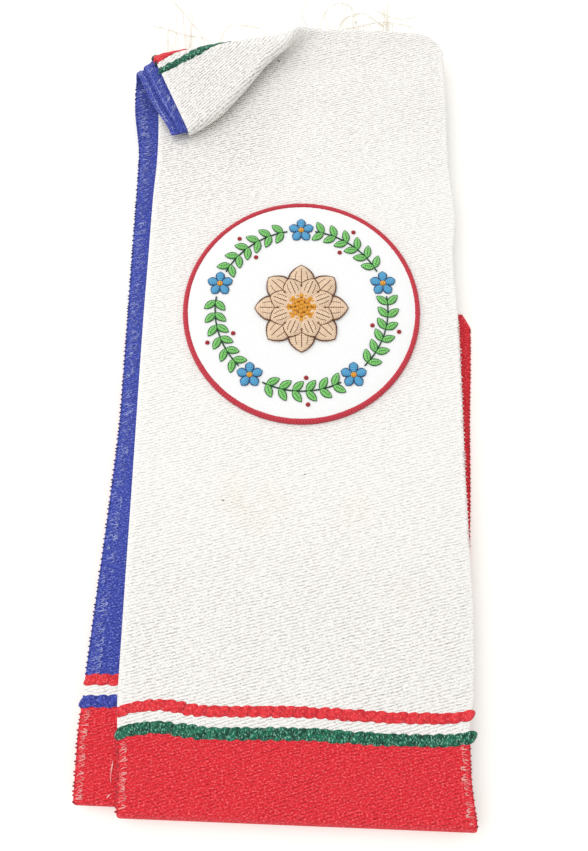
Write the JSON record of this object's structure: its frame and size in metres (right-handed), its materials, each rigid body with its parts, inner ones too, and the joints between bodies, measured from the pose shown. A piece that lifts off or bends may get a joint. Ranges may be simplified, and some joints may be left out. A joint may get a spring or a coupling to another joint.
{
  "type": "graduation stole",
  "caption": "Woven graduation stole with a white leg over a blue one, striped red feet, fringed ends and a round embroidered patch, folded flat with one corner turned down.",
  "frame": {"origin": "under the middle of the folded bundle's box, on the surface it lies on", "axes": "+X to the right of the front as the picture shows it, +Y up the front from the red foot to the top fold, +Z out of the table"},
  "size_m": [0.1586, 0.3818, 0.0174],
  "materials": {
    "white_cloth": "matte twill weave",
    "red_cloth": "matte twill weave",
    "green_cloth": "matte twill weave",
    "blue_cloth": "matte twill weave",
    "fringe_thread": "matte thread",
    "patch_twill": "matte fine twill",
    "border_thread": "matte thread",
    "tan_thread": "matte thread",
    "gold_thread": "matte thread",
    "leaf_thread": "matte thread",
    "sky_thread": "matte thread"
  },
  "bodies": {
    "root": {"white_field": "white_cloth", "white_leg_red_stripe": "red_cloth", "white_leg_white_stripe": "white_cloth", "white_leg_green_stripe": "green_cloth", "white_leg_red_end": "red_cloth", "neck_green_stripe": "green_cloth", "neck_white_stripe": "white_cloth", "neck_red_stripe": "red_cloth", "neck_green_block": "green_cloth", "blue_field": "blue_cloth", "blue_leg_red_stripe": "red_cloth", "blue_leg_white_stripe": "white_cloth", "blue_leg_blue_stripe": "blue_cloth", "blue_leg_red_end": "red_cloth", "white_leg_fringe": "fringe_thread", "blue_leg_fringe": "fringe_thread", "patch_disc": "patch_twill", "patch_border": "border_thread", "bloom_petals": "tan_thread", "bloom_heart": "gold_thread", "blue_flower_1": "sky_thread", "leaf_sprig_1": "leaf_thread", "blue_flower_2": "sky_thread", "leaf_sprig_2": "leaf_thread", "blue_flower_3": "sky_thread", "leaf_sprig_3": "leaf_thread", "blue_flower_4": "sky_thread", "leaf_sprig_4": "leaf_thread", "blue_flower_5": "sky_thread", "leaf_sprig_5": "leaf_thread"}
  },
  "joints": []
}
